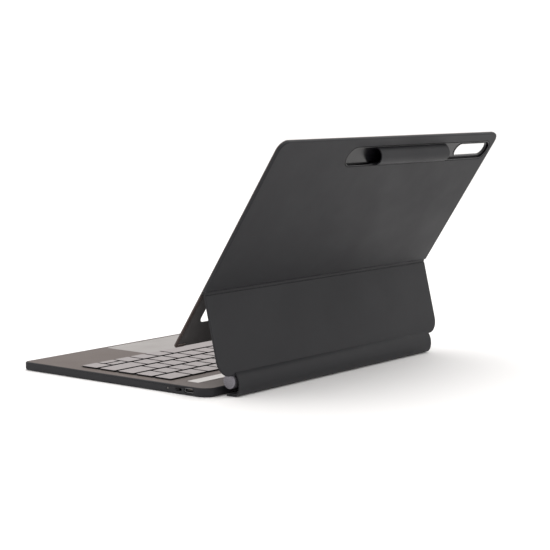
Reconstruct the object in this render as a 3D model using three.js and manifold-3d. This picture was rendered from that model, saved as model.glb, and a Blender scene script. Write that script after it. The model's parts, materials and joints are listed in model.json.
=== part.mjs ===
// Keyboard case for a 12.4 inch tablet, standing open.
//
// A thin keyboard base carries a hinge barrel along its rear edge. A flap rises from the barrel
// to a fold, and the back panel, which holds the tablet, leans back from that fold. The tablet
// and its stylus are not part of the case.
//
// Millimetres. X runs along the width with +X on the user's right, -Y is the side the user sits
// at and +Z is up. The origin is the middle of the base's underside.

import * as THREE from 'three';
import { mergeVertices } from 'three/addons/utils/BufferGeometryUtils.js';
import Module from 'manifold-3d';

const wasm = await Module();
wasm.setup();

// ---- driving dimensions -------------------------------------------------------------------

const GAP = 0.3;                    // between neighbours that touch on the real case

const BASE_WIDTH = 286;
const BASE_DEPTH = 191;
const BASE_HEIGHT = 6.5;
const BASE_CORNER = { front: 5, rear: 10 };
const SKIN = 1.2;                   // soft coating moulded round the base
const DECK_THICKNESS = 1.2;
const BASE_FLOOR = 0.8;
const TRAY_WALL = 1.4;
const TRAY_FLOOR = 0.6;

const KEY_PITCH_X = 17.75;
const KEY_PITCH_Y = 19;
const KEY_GAP_X = 2.2;
const KEY_GAP_Y = 3.2;
const KEY_TOP = 7.6;
const KEY_THICKNESS = 1.6;
const KEY_CLEARANCE = 0.45;         // between a cap and its hole in the deck
const KEY_FRONT = 53.8 - BASE_DEPTH / 2;
const KEY_WEB = { bottom: 4.7, thickness: 0.3, depth: 5 };
const KEY_CORNER = 1.2;
const KEY_PLATE = { bottom: 2, top: 2.5 };
const DOME_SHEET = { bottom: 2.8, top: 3.2 };
const LOGIC_BOARD = { left: 133, right: -20, front: 52, rear: 83, bottom: 2, top: 2.8 };
const CELL = { inner: 60, outer: 134, front: -90, rear: -50, bottom: 2, top: 4.6 };

const PAD = { width: 108, depth: 46.5, front: 3.8 - BASE_DEPTH / 2, thickness: 1.4, corner: 3 };
const STRIP = { width: 254, depth: 11, front: 157.5 - BASE_DEPTH / 2, thickness: 0.5 };

const PORT = { y: 77.7, z: 3.55, width: 8.9, height: 2.95, depth: 7.3, wall: 0.3 };
const SWITCH = { y: 66.9, z: 3.45, length: 3.2, height: 1.5, travel: 2.2 };
const LED = { y: 57.3, z: 3.3, radius: 0.6 };

const BARREL_Y = 198 - BASE_DEPTH / 2;
const BARREL_Z = 10.8;
const BARREL_RADIUS = 5.5;
const BARREL_BORE = 3;
const BARREL_HALF = 127.4;
const CAP_THICKNESS = 1.2;
const KNUCKLE_X = 95;
const KNUCKLE_WIDTH = 8;
const PIN_RADIUS = 2.6;
const PIN_LENGTH = 30;
const ROUND = 32;                   // sides of a round piece

const SPINE_HALF = 126;
const SPINE_THICKNESS = 1;

const FLAP_LEAN = THREE.MathUtils.degToRad(13.6);
const FLAP_OFFSET = 5.06;           // from the barrel's axis to the flap's middle plane
const FLAP_HALF = 142.5;
const FLAP_BOTTOM = 3.6;              // measured up the flap from the barrel's axis
const FLAP_FOLD = 64.6;
const FLAP_CORNER = 12;
const FOLD_RADIUS = 0.8;
const FOLD_DEPTH = 0.9;             // of the fold's axis below the outer faces
const LEAF = { x: 60, half: 15, bottom: 3.7, top: 24.7, outer: 0.8, inner: 1.3 };

const PANEL_TILT = THREE.MathUtils.degToRad(33.1);
const PANEL_HALF = 143;
const PANEL_ABOVE = 130.5;          // from the fold to the top edge
const PANEL_BELOW = 50.5;           // from the fold to the holder's lower edge
const PANEL_CORNER = 8;
const PANEL_SKIN = 0.8;
const BOARD = { outer: 1.1, inner: 2.3 };
const HOLDER = { outer: 2.6, rim: 2.1, inner: 3.3, rimWidth: 2.6, rimEnd: 131.5, corner: 3 };
const HOLDER_WINDOW = { half: 128, top: -6, bottom: -29.5, corner: 5 };

const SLOT = { left: 57.4, right: -138.4, drop: 15.8, radius: 8.4, wall: 0.8, floor: 0.5 };
const CAMERA = { left: -90, right: -136.6, radius: 6.6, ring: 0.7 };
const COVER = { left: 23, right: -70, half: 7.2, foot: 1.3, rise: 8.3, thickness: 0.9 };
const MAGNET = { half: 50, width: 8, thickness: 1, upper: 96, lower: 22 };

// Key rows from the rear to the front: name, width in key units and how many caps share it.
const KEY_ROWS = [
  [['key_grave', 1.55], ['keys_number_row', 1, 12], ['key_backspace', 1.4]],
  [['key_tab', 1.95], ['keys_tab_row', 1, 12], ['key_backslash', 1]],
  [['key_caps_lock', 2.35], ['keys_caps_row', 1, 11], ['key_enter', 1.6]],
  [['key_shift_left', 2.85], ['keys_shift_row', 1, 10], ['key_shift_right', 2.1]],
  [['key_control_left', 1.4], ['key_function', 1], ['key_menu', 1], ['key_alt_left', 1.25],
    ['key_space', 5.3], ['key_alt_right', 1], ['key_control_right', 1], ['key_arrow_left', 1],
    ['key_arrow_up_down', 1], ['key_arrow_right', 1]],
];
const ROW_UNITS = 14.95;

// ---- finishes ------------------------------------------------------------------------------

function finish(color, roughness, metalness = 0) {
  return new THREE.MeshStandardMaterial({ color, roughness, metalness });
}
const SOFT_BLACK = finish(0x3a3a3c, 0.75);
const DARK_LINING = finish(0x2c2829, 0.9);
const DECK_GREY = finish(0x847b77, 0.55, 0.1);
const KEY_GREY = finish(0xb1abab, 0.6);
const PAD_GREY = finish(0xbeb9b6, 0.35);
const SATIN_METAL = finish(0xc9c4c1, 0.3, 0.9);
const HINGE_METAL = finish(0x737174, 0.4, 0.9);
const STEEL = finish(0x9a9a9c, 0.35, 1);
const BLACK_PLASTIC = finish(0x1b191e, 0.35);
const BOARD_GREEN = finish(0x234a36, 0.6);
const CELL_FOIL = finish(0x8b8d92, 0.45, 0.6);
const SILICONE = finish(0xd8d6d0, 0.7);
const LENS = finish(0xe9e6dc, 0.2);

// ---- shape helpers -------------------------------------------------------------------------

const group = new THREE.Group();

// A rectangle with rounded corners. The two at y1 may have their own radius.
function rectangle(x0, x1, y0, y1, r0, r1 = r0) {
  const shape = new THREE.Shape();
  shape.absarc(x1 - r0, y0 + r0, r0, -Math.PI / 2, 0);
  shape.absarc(x1 - r1, y1 - r1, r1, 0, Math.PI / 2);
  shape.absarc(x0 + r1, y1 - r1, r1, Math.PI / 2, Math.PI);
  shape.absarc(x0 + r0, y0 + r0, r0, Math.PI, 1.5 * Math.PI);
  return shape;
}

function plate(shape, z0, z1, curveSegments = 4) {
  const depth = z1 - z0;
  const geometry = new THREE.ExtrudeGeometry(shape, { depth, bevelEnabled: false, curveSegments });
  return geometry.translate(0, 0, z0);
}

// Extrudes an outline drawn in the YZ plane along X.
function rail(points, x0, x1) {
  const shape = new THREE.Shape(points.map(([y, z]) => new THREE.Vector2(y, z)));
  const geometry = new THREE.ExtrudeGeometry(shape, { depth: x1 - x0, bevelEnabled: false });
  const turn = new THREE.Matrix4().makeBasis(
    new THREE.Vector3(0, 1, 0), new THREE.Vector3(0, 0, 1), new THREE.Vector3(1, 0, 0));
  return geometry.applyMatrix4(turn).translate(x0, 0, 0);
}

function rod(radius, x0, x1, y = 0, z = 0, sides = ROUND) {
  const geometry = new THREE.CylinderGeometry(radius, radius, x1 - x0, sides);
  return geometry.rotateZ(-Math.PI / 2).translate((x0 + x1) / 2, y, z);
}

function box(x0, x1, y0, y1, z0, z1) {
  const geometry = new THREE.BoxGeometry(x1 - x0, y1 - y0, z1 - z0);
  return geometry.translate((x0 + x1) / 2, (y0 + y1) / 2, (z0 + z1) / 2);
}

function solid(geometry) {
  const plain = geometry.clone();
  plain.deleteAttribute('normal');
  plain.deleteAttribute('uv');
  const merged = mergeVertices(plain, 1e-4);
  return new wasm.Manifold(new wasm.Mesh({
    numProp: 3,
    vertProperties: new Float32Array(merged.attributes.position.array),
    triVerts: new Uint32Array(merged.index.array),
  }));
}

function surface(manifold) {
  const mesh = manifold.getMesh();
  const geometry = new THREE.BufferGeometry();
  geometry.setAttribute('position', new THREE.BufferAttribute(mesh.vertProperties, 3));
  geometry.setIndex(new THREE.BufferAttribute(mesh.triVerts, 1));
  geometry.computeVertexNormals();
  return geometry;
}

function cut(geometry, ...cutters) {
  return surface(cutters.reduce((rest, cutter) => rest.subtract(solid(cutter)), solid(geometry)));
}

function join(geometry, ...others) {
  return surface(others.reduce((sum, other) => sum.add(solid(other)), solid(geometry)));
}

function add(parent, name, geometry, material) {
  const mesh = new THREE.Mesh(geometry, material);
  mesh.name = name;
  parent.add(mesh);
}

// ---- key layout ----------------------------------------------------------------------------

// Every cap as { name, x0, x1, y0, y1 }; caps with one name are joined into one bar of keys.
function layOutKeys() {
  const caps = [];
  KEY_ROWS.forEach((row, index) => {
    const y0 = KEY_FRONT + (KEY_ROWS.length - 1 - index) * KEY_PITCH_Y;
    const y1 = y0 + KEY_PITCH_Y - KEY_GAP_Y;
    let unit = -ROW_UNITS / 2;
    for (const [name, width, count = 1] of row) {
      for (let i = 0; i < count; i += 1) {
        const x0 = unit * KEY_PITCH_X + KEY_GAP_X / 2;
        unit += width;
        const x1 = unit * KEY_PITCH_X - KEY_GAP_X / 2;
        if (name === 'key_arrow_up_down') {
          const middle = (y0 + y1) / 2;
          caps.push({ name: 'key_arrow_down', x0, x1, y0, y1: middle - KEY_GAP_X / 2 });
          caps.push({ name: 'key_arrow_up', x0, x1, y0: middle + KEY_GAP_X / 2, y1 });
        } else {
          caps.push({ name, x0, x1, y0, y1 });
        }
      }
    }
  });
  return caps;
}
const CAPS = layOutKeys();
const KEY_REAR = KEY_FRONT + KEY_ROWS.length * KEY_PITCH_Y - KEY_GAP_Y;

// ---- base ----------------------------------------------------------------------------------

const HALF_WIDTH = BASE_WIDTH / 2;
const HALF_DEPTH = BASE_DEPTH / 2;
const DECK_BOTTOM = BASE_HEIGHT - DECK_THICKNESS;

// The base's outline, drawn in by an inset.
function baseOutline(inset) {
  const x = HALF_WIDTH - inset;
  const y = HALF_DEPTH - inset;
  return rectangle(-x, x, -y, y, BASE_CORNER.front - inset, BASE_CORNER.rear - inset);
}

function pill(length, height, x0, x1, y, z) {
  const shape = rectangle(-length / 2, length / 2, -height / 2, height / 2, height / 2 - 0.01);
  const geometry = plate(shape, 0, x1 - x0, 6);
  const turn = new THREE.Matrix4().makeBasis(
    new THREE.Vector3(0, 1, 0), new THREE.Vector3(0, 0, 1), new THREE.Vector3(1, 0, 0));
  return geometry.applyMatrix4(turn).translate(x0, y, z);
}

// Holes in the +X side for the port, the slide switch and the status light, and in the rear
// wall for the legs of the two hinge knuckles.
function sideHoles() {
  const x0 = HALF_WIDTH - 5;
  const x1 = HALF_WIDTH + 1;
  const slot = SWITCH.length + SWITCH.travel + 2 * GAP;
  const legs = [-1, 1].map((side) => box(
    side * KNUCKLE_X - KNUCKLE_WIDTH / 2 - GAP, side * KNUCKLE_X + KNUCKLE_WIDTH / 2 + GAP,
    HALF_DEPTH - 5, HALF_DEPTH + 1, 1.8, 4.5));
  return [
    pill(PORT.width + 2 * GAP, PORT.height + 2 * GAP, x0, x1, PORT.y, PORT.z),
    pill(slot, SWITCH.height + 2 * GAP, x0, x1, SWITCH.y + SWITCH.travel / 2, SWITCH.z),
    rod(LED.radius + GAP, x0, x1, LED.y, LED.z, 12),
    ...legs,
  ];
}

function baseSkin() {
  const bevel = 1;
  const outer = new THREE.ExtrudeGeometry(baseOutline(bevel), {
    depth: BASE_HEIGHT - 2 * bevel, bevelThickness: bevel, bevelSize: bevel, bevelSegments: 2,
    curveSegments: 5,
  }).translate(0, 0, bevel);
  const pocket = plate(baseOutline(SKIN), BASE_FLOOR, BASE_HEIGHT + 1, 5);
  return cut(outer, pocket, ...sideHoles());
}

function baseTray() {
  const bottom = BASE_FLOOR + GAP;
  const outer = plate(baseOutline(SKIN + GAP), bottom, DECK_BOTTOM - GAP, 5);
  const pocket = plate(
    baseOutline(SKIN + GAP + TRAY_WALL), bottom + TRAY_FLOOR, BASE_HEIGHT, 5);
  return cut(outer, pocket, ...sideHoles());
}

function deckPlate() {
  const c = KEY_CLEARANCE;
  const sheet = plate(baseOutline(SKIN + GAP), DECK_BOTTOM, BASE_HEIGHT, 5);
  const holes = CAPS.map(({ x0, x1, y0, y1 }) => box(
    x0 - c, x1 + c, y0 - c, y1 + c, DECK_BOTTOM - 1, BASE_HEIGHT + 1));
  const pad = plate(rectangle(
    -PAD.width / 2 - GAP, PAD.width / 2 + GAP, PAD.front - GAP, PAD.front + PAD.depth + GAP,
    PAD.corner), DECK_BOTTOM - 1, BASE_HEIGHT + 1);
  const strip = box(
    -STRIP.width / 2 - GAP, STRIP.width / 2 + GAP, STRIP.front - GAP,
    STRIP.front + STRIP.depth + GAP, BASE_HEIGHT - STRIP.thickness - GAP, BASE_HEIGHT + 1);
  return cut(sheet, ...holes, pad, strip);
}

function usbPort() {
  const { y, z, width, height, depth, wall } = PORT;
  const x1 = HALF_WIDTH - 1;
  const x0 = x1 - depth;
  const shell = cut(
    pill(width, height, x0, x1, y, z),
    pill(width - 2 * wall, height - 2 * wall, x0 + 1, x1 + 1, y, z));
  return join(shell, box(x0 + 0.5, x1 - 0.8, y - 3.1, y + 3.1, z - 0.35, z + 0.35));
}

function powerSwitch() {
  const { y, z, length, height } = SWITCH;
  const rib = 0.4;
  const ribs = [-1, 0, 1].map((step) => box(
    HALF_WIDTH - 0.6, HALF_WIDTH - 0.1, y + step - rib / 2, y + step + rib / 2,
    z - height / 2, z + height / 2));
  return join(box(
    HALF_WIDTH - 4.6, HALF_WIDTH - 0.4, y - length / 2, y + length / 2,
    z - height / 2, z + height / 2), ...ribs);
}

function buildBase() {
  add(group, 'base_skin', baseSkin(), SOFT_BLACK);
  add(group, 'base_tray', baseTray(), BLACK_PLASTIC);
  add(group, 'deck_plate', deckPlate(), DECK_GREY);

  const keysHalf = ROW_UNITS * KEY_PITCH_X / 2 + 1;
  add(group, 'key_support_plate', box(
    -keysHalf, keysHalf, KEY_FRONT - 1, KEY_REAR + 1, KEY_PLATE.bottom, KEY_PLATE.top), STEEL);
  add(group, 'dome_sheet', box(
    -keysHalf, keysHalf, KEY_FRONT - 1, KEY_REAR + 1, DOME_SHEET.bottom, DOME_SHEET.top), SILICONE);

  const board = LOGIC_BOARD;
  add(group, 'logic_board', box(
    board.right, board.left, board.front, board.rear, board.bottom, board.top), BOARD_GREEN);
  add(group, 'battery_left', box(
    -CELL.outer, -CELL.inner, CELL.front, CELL.rear, CELL.bottom, CELL.top), CELL_FOIL);
  add(group, 'battery_right', box(
    CELL.inner, CELL.outer, CELL.front, CELL.rear, CELL.bottom, CELL.top), CELL_FOIL);

  add(group, 'contact_strip', plate(rectangle(
    -STRIP.width / 2, STRIP.width / 2, STRIP.front, STRIP.front + STRIP.depth, 1),
  BASE_HEIGHT - STRIP.thickness, BASE_HEIGHT + 0.15, 2), SATIN_METAL);
  add(group, 'usb_c_port', usbPort(), STEEL);
  add(group, 'power_switch', powerSwitch(), BLACK_PLASTIC);
  add(group, 'status_led',
    rod(LED.radius, HALF_WIDTH - 4.6, HALF_WIDTH - 0.15, LED.y, LED.z, 12), LENS);
  add(group, 'trackpad_glass', plate(rectangle(
    -PAD.width / 2, PAD.width / 2, PAD.front, PAD.front + PAD.depth, PAD.corner - GAP),
  BASE_HEIGHT - PAD.thickness, BASE_HEIGHT), PAD_GREY);
}

// ---- keys ----------------------------------------------------------------------------------

function keyCap({ x0, x1, y0, y1 }, bottom) {
  return plate(rectangle(x0, x1, y0, y1, KEY_CORNER), bottom, KEY_TOP, 2);
}

function buildKeys() {
  const names = [...new Set(CAPS.map((cap) => cap.name))];
  for (const name of names) {
    const caps = CAPS.filter((cap) => cap.name === name);
    if (caps.length === 1) {
      add(group, name, keyCap(caps[0], KEY_TOP - KEY_THICKNESS), KEY_GREY);
      continue;
    }
    // A row of letter caps stands on one thin web below the deck.
    const { bottom, thickness, depth } = KEY_WEB;
    const middle = (caps[0].y0 + caps[0].y1) / 2;
    const web = box(
      caps[0].x0 + 1, caps[caps.length - 1].x1 - 1, middle - depth / 2, middle + depth / 2,
      bottom, bottom + thickness);
    add(group, name, join(web, ...caps.map((cap) => keyCap(cap, bottom + 0.1))), KEY_GREY);
  }
}

// ---- hinge barrel and spine ----------------------------------------------------------------

function tube(radius, bore, x0, x1) {
  return cut(rod(radius, x0, x1), rod(bore, x0 - 1, x1 + 1));
}

function knuckle(side) {
  const x0 = side * KNUCKLE_X - KNUCKLE_WIDTH / 2;
  const x1 = side * KNUCKLE_X + KNUCKLE_WIDTH / 2;
  const leg = rail([
    [84, 2.1], [104, 2.1], [BARREL_Y + 4, 8], [BARREL_Y - 4, 8], [96.5, 4.1], [84, 4.1],
  ], x0, x1);
  const collar = rod(BARREL_RADIUS, x0, x1, BARREL_Y, BARREL_Z);
  return cut(join(collar, leg), rod(BARREL_BORE, x0 - 1, x1 + 1, BARREL_Y, BARREL_Z));
}

// The soft wrap that runs from under the base round the back of the barrel. Its outer face is
// a list of points from the base to the crease, and the inner face follows a thickness inside.
function spineSkin() {
  const outer = [
    [191.4, 0], [201.2, 0], [204.4, 1.4], [206.3, 4.2], [207, 8], [206.6, 11.6],
    [205.6, 14.3], [205, 15.4],
  ].map(([y, z]) => new THREE.Vector2(y - BASE_DEPTH / 2, z));
  const inner = outer.map((point, i) => {
    const ahead = outer[Math.min(i + 1, outer.length - 1)];
    const behind = outer[Math.max(i - 1, 0)];
    const along = ahead.clone().sub(behind).normalize();
    return new THREE.Vector2(point.x - along.y * SPINE_THICKNESS, point.y + along.x * SPINE_THICKNESS);
  });
  const points = [...outer, ...inner.reverse()].map(({ x, y }) => [x, y]);
  return rail(points, -SPINE_HALF, SPINE_HALF);
}

function buildHinge() {
  for (const [side, name] of [[-1, 'left'], [1, 'right']]) {
    add(group, `hinge_knuckle_${name}`, knuckle(side), STEEL);
    const middle = side * KNUCKLE_X;
    add(group, `hinge_pin_${name}`, rod(
      PIN_RADIUS, middle - PIN_LENGTH / 2, middle + PIN_LENGTH / 2, BARREL_Y, BARREL_Z, 24), STEEL);
  }
  add(group, 'spine_skin', spineSkin(), SOFT_BLACK);
}

// ---- flap ----------------------------------------------------------------------------------

// The flap's own frame has its origin on the barrel's axis, +Y up the flap and +Z out of its
// front, so the outer face, towards the rear, lies at a negative z.
const flap = new THREE.Group();
flap.position.set(0, BARREL_Y, BARREL_Z);
flap.rotation.x = Math.PI / 2 + FLAP_LEAN;
group.add(flap);

const FLAP_OUTER = -(FLAP_OFFSET + FOLD_DEPTH);
const FLAP_TOP = FLAP_FOLD - FOLD_RADIUS - GAP;

// One layer of the flap between two depths below its outer face.
function flapLayer(inset, depth0, depth1) {
  const x = FLAP_HALF - inset;
  const y0 = FLAP_BOTTOM + inset;
  const r = FLAP_CORNER - inset;
  const top = FLAP_TOP - inset;
  const shape = new THREE.Shape();
  shape.moveTo(-x, top).lineTo(-x, y0 + r);
  shape.absarc(-x + r, y0 + r, r, Math.PI, 1.5 * Math.PI);
  shape.absarc(x - r, y0 + r, r, 1.5 * Math.PI, 2 * Math.PI);
  shape.lineTo(x, top);
  return plate(shape, FLAP_OUTER + depth0, FLAP_OUTER + depth1, 6);
}

function buildFlap() {
  const segment = KNUCKLE_X - KNUCKLE_WIDTH / 2 - GAP;
  const outerSegment = KNUCKLE_X + KNUCKLE_WIDTH / 2 + GAP;
  const tubeEnd = BARREL_HALF - CAP_THICKNESS - GAP;
  add(flap, 'barrel_center', tube(BARREL_RADIUS, BARREL_BORE, -segment, segment), HINGE_METAL);
  for (const [side, name] of [[-1, 'left'], [1, 'right']]) {
    const x0 = side < 0 ? -tubeEnd : outerSegment;
    const x1 = side < 0 ? -outerSegment : tubeEnd;
    add(flap, `barrel_end_${name}`, tube(BARREL_RADIUS, BARREL_BORE, x0, x1), HINGE_METAL);

    // The cap is a disc with a plug that sits in the end of the tube.
    const disc = rod(BARREL_RADIUS, tubeEnd + GAP, BARREL_HALF);
    const cap = join(disc, rod(BARREL_BORE - GAP, tubeEnd - 4, tubeEnd + 0.6));
    if (side < 0) cap.rotateY(Math.PI);
    add(flap, `barrel_cap_${name}`, cap, HINGE_METAL);

    add(flap, `hinge_leaf_${name}`, box(
      side * LEAF.x - LEAF.half, side * LEAF.x + LEAF.half, LEAF.bottom, LEAF.top,
      FLAP_OUTER + LEAF.outer, FLAP_OUTER + LEAF.inner), STEEL);
  }

  const notches = [-1, 1].map((side) => box(
    side * LEAF.x - LEAF.half - GAP, side * LEAF.x + LEAF.half + GAP, 0, LEAF.top + GAP,
    FLAP_OUTER, FLAP_OUTER + 3));
  add(flap, 'flap_skin', flapLayer(0, 0, 0.5), SOFT_BLACK);
  add(flap, 'flap_board', cut(flapLayer(2, LEAF.outer, LEAF.inner), ...notches), BLACK_PLASTIC);
  add(flap, 'flap_lining', flapLayer(0.6, 1.6, 1.9), DARK_LINING);
  add(flap, 'fold_hinge', rod(
    FOLD_RADIUS, -FLAP_HALF + 1, FLAP_HALF - 1, FLAP_FOLD, -FLAP_OFFSET, 12), SOFT_BLACK);
}

// ---- back panel ----------------------------------------------------------------------------

// The panel's own frame has its origin on the fold's axis, +Y up the panel and +Z out of the
// face that the tablet lies on. Depths are measured from the outer face.
const FOLD_Y = BARREL_Y - FLAP_FOLD * Math.sin(FLAP_LEAN) + FLAP_OFFSET * Math.cos(FLAP_LEAN);
const FOLD_Z = BARREL_Z + FLAP_FOLD * Math.cos(FLAP_LEAN) + FLAP_OFFSET * Math.sin(FLAP_LEAN);
const panel = new THREE.Group();
panel.position.set(0, FOLD_Y, FOLD_Z);
panel.rotation.x = Math.PI / 2 - PANEL_TILT;
group.add(panel);

const PANEL_OUTER = -FOLD_DEPTH;
const PANEL_BOTTOM = FOLD_RADIUS + GAP;
const SLOT_Y = PANEL_ABOVE - SLOT.drop;

function panelPlate(shape, depth0, depth1, curveSegments = 5) {
  return plate(shape, PANEL_OUTER + depth0, PANEL_OUTER + depth1, curveSegments);
}

// The back's upper outline, square at the fold and rounded at the top.
function upperOutline(inset) {
  const x = PANEL_HALF - inset;
  const r = PANEL_CORNER - inset;
  const top = PANEL_ABOVE - inset;
  const shape = new THREE.Shape();
  shape.moveTo(-x, PANEL_BOTTOM + inset);
  shape.lineTo(x, PANEL_BOTTOM + inset);
  shape.absarc(x - r, top - r, r, 0, Math.PI / 2);
  shape.absarc(-x + r, top - r, r, Math.PI / 2, Math.PI);
  return shape;
}

// A long slot with round ends, centred on the stylus line.
function slotOutline(left, right, radius) {
  return rectangle(right, left, SLOT_Y - radius, SLOT_Y + radius, radius - 0.01);
}

function holderPlate() {
  const x = PANEL_HALF - GAP;
  const sheet = panelPlate(
    rectangle(-x, x, -PANEL_BELOW, PANEL_ABOVE - GAP, HOLDER.corner, PANEL_CORNER),
    HOLDER.outer, HOLDER.inner);
  const w = HOLDER.rimWidth;
  const { half, top, bottom, corner } = HOLDER_WINDOW;
  const rimOuter = rectangle(-x, x, -PANEL_BELOW, 20, HOLDER.corner);
  const rimInner = rectangle(-x + w, x - w, -PANEL_BELOW + w, 30, HOLDER.corner - w);
  const rim = cut(
    panelPlate(rimOuter, HOLDER.rim, HOLDER.outer + 0.2),
    panelPlate(rimInner, 0, HOLDER.inner),
    box(-x - 1, x + 1, -FOLD_RADIUS - 2, 40, -5, 5),
    box(-HOLDER.rimEnd, HOLDER.rimEnd, -PANEL_BELOW - 1, 0, -5, 5));
  const window = panelPlate(rectangle(-half, half, bottom, top, corner), 0, 5);
  const camera = panelPlate(slotOutline(CAMERA.left, CAMERA.right, CAMERA.radius), 0, 5);
  return cut(join(sheet, rim), window, camera);
}

function stylusTray() {
  const { left, right, radius, wall, floor } = SLOT;
  const bottom = BOARD.inner - floor;
  const cutaway = slotOutline(CAMERA.left, CAMERA.right, CAMERA.radius);
  return cut(
    panelPlate(slotOutline(left, right, radius), 0.1, BOARD.inner),
    panelPlate(slotOutline(left - wall, right + wall, radius - wall), -1, bottom),
    panelPlate(cutaway, 0, 5));
}

// A half tube over the stylus with its feet in the tray.
function stylusCover() {
  const { left, right, half, foot, rise, thickness } = COVER;
  const arch = (halfWidth, height, steps) => {
    const points = [];
    for (let i = 0; i <= steps; i += 1) {
      const angle = Math.PI * i / steps;
      points.push([SLOT_Y + halfWidth * Math.cos(angle), foot - height * Math.sin(angle)]);
    }
    return points;
  };
  const outer = arch(half, rise, 14);
  const inner = arch(half - thickness, rise - thickness, 14).reverse();
  const points = [...outer, ...inner].map(([y, depth]) => [y, PANEL_OUTER + depth]);
  return rail(points.reverse(), right, left);
}

function buildPanel() {
  const skinHole = slotOutline(SLOT.left + GAP, SLOT.right - GAP, SLOT.radius + GAP);
  add(panel, 'panel_skin', cut(
    panelPlate(upperOutline(0), 0, PANEL_SKIN), panelPlate(skinHole, -1, 2)), SOFT_BLACK);

  const magnetAt = (y, grow) => {
    const { half, width } = MAGNET;
    return [-half - grow, half + grow, y - width / 2 - grow, y + width / 2 + grow];
  };
  const pocket = (y) => box(...magnetAt(y, GAP), PANEL_OUTER + BOARD.outer - 1, PANEL_OUTER + 3);
  add(panel, 'panel_board', cut(
    panelPlate(upperOutline(1.5), BOARD.outer, BOARD.inner),
    panelPlate(skinHole, 0, 5), pocket(MAGNET.upper), pocket(MAGNET.lower)), BLACK_PLASTIC);
  for (const [name, y] of [['upper', MAGNET.upper], ['lower', MAGNET.lower]]) {
    add(panel, `magnet_bar_${name}`, box(
      ...magnetAt(y, 0), PANEL_OUTER + BOARD.outer, PANEL_OUTER + BOARD.outer + MAGNET.thickness),
    STEEL);
  }

  add(panel, 'holder_plate', holderPlate(), DARK_LINING);
  add(panel, 'stylus_tray', stylusTray(), BLACK_PLASTIC);
  add(panel, 'stylus_cover', stylusCover(), SOFT_BLACK);

  const { left, right, radius, ring } = CAMERA;
  add(panel, 'camera_bezel', cut(
    panelPlate(slotOutline(left - GAP, right + GAP, radius - GAP), 1.4, HOLDER.inner),
    panelPlate(slotOutline(left - GAP - ring, right + GAP + ring, radius - GAP - ring), 0, 5)),
  BLACK_PLASTIC);
}

buildBase();
buildKeys();
buildHinge();
buildFlap();
buildPanel();

export default group;
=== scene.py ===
# Keyboard case for a 12.4 inch tablet, standing open. Metres, in the CAD frame: X runs across the
# case with +X on the user's right, the user sits at -Y, and +Z is up from the desk.

import bpy
from math import cos, pi, radians, sin
from mathutils import Matrix, Vector
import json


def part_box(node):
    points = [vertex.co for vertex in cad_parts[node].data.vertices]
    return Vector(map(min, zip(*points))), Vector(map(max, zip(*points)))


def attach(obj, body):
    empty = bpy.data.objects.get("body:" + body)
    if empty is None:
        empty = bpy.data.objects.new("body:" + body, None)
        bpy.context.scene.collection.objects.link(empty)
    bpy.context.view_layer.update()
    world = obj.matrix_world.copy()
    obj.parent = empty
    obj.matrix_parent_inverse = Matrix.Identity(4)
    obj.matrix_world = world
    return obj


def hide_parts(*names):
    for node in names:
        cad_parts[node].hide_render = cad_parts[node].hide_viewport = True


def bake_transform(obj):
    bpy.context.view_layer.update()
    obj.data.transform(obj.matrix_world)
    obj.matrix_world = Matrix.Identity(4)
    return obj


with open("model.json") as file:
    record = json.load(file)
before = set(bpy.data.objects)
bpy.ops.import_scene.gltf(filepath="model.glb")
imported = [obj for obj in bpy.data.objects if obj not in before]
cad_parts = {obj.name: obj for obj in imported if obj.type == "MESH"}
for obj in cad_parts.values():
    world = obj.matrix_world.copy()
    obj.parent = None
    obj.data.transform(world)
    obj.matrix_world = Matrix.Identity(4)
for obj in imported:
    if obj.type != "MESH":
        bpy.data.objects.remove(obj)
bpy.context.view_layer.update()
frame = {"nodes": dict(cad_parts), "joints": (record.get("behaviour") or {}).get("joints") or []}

# ---- Base wrap -----------------------------------------------------------------------------
# The keyboard's black outside: soft-touch polyurethane moulded round its edge and underside.
# It ends as a thin rim round the deck. The port, the switch and the light are let into its
# right side, and the two hinge legs come out through its rear.

MM = 0.001


def srgb(code):
    """An sRGB hex colour as the linear values that a shader takes."""
    parts = [int(code[i:i + 2], 16) / 255 for i in (1, 3, 5)]
    return [p / 12.92 if p < 0.04045 else ((p + 0.055) / 1.055) ** 2.4 for p in parts] + [1]


def new_finish(name, **sockets):
    """A material named for its finish, and its shader with these sockets set."""
    material = bpy.data.materials.new(name)
    material.use_nodes = True
    shader = material.node_tree.nodes["Principled BSDF"]
    for socket, value in sockets.items():
        shader.inputs[socket.replace("_", " ")].default_value = value
    return material, shader


def add_node(material, kind, sockets=None, **settings):
    """Adds a node with its settings; each socket takes a value or another node's output."""
    tree = material.node_tree
    node = tree.nodes.new("ShaderNode" + kind)
    for setting, value in settings.items():
        setattr(node, setting, value)
    for socket, value in (sockets or {}).items():
        if isinstance(value, bpy.types.NodeSocket):
            tree.links.new(value, node.inputs[socket])
        else:
            node.inputs[socket].default_value = value
    return node


def feed(material, shader, **outputs):
    """Links outputs to the shader's sockets."""
    for socket, output in outputs.items():
        material.node_tree.links.new(output, shader.inputs[socket.replace("_", " ")])


def select_only(piece):
    """Leaves this piece selected and active, and nothing else."""
    bpy.ops.object.select_all(action="DESELECT")
    piece.select_set(True)
    bpy.context.view_layer.objects.active = piece


def add_block(name, low, high):
    """A block between two opposite corners, with its place in its mesh."""
    bpy.ops.object.select_all(action="DESELECT")
    bpy.ops.mesh.primitive_cube_add(size=1)
    bpy.ops.transform.resize(value=[b - a for a, b in zip(low, high)])
    bpy.ops.transform.translate(value=[(a + b) / 2 for a, b in zip(low, high)])
    bpy.ops.object.transform_apply()
    block = bpy.context.object
    block.name = block.data.name = name
    return block


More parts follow.
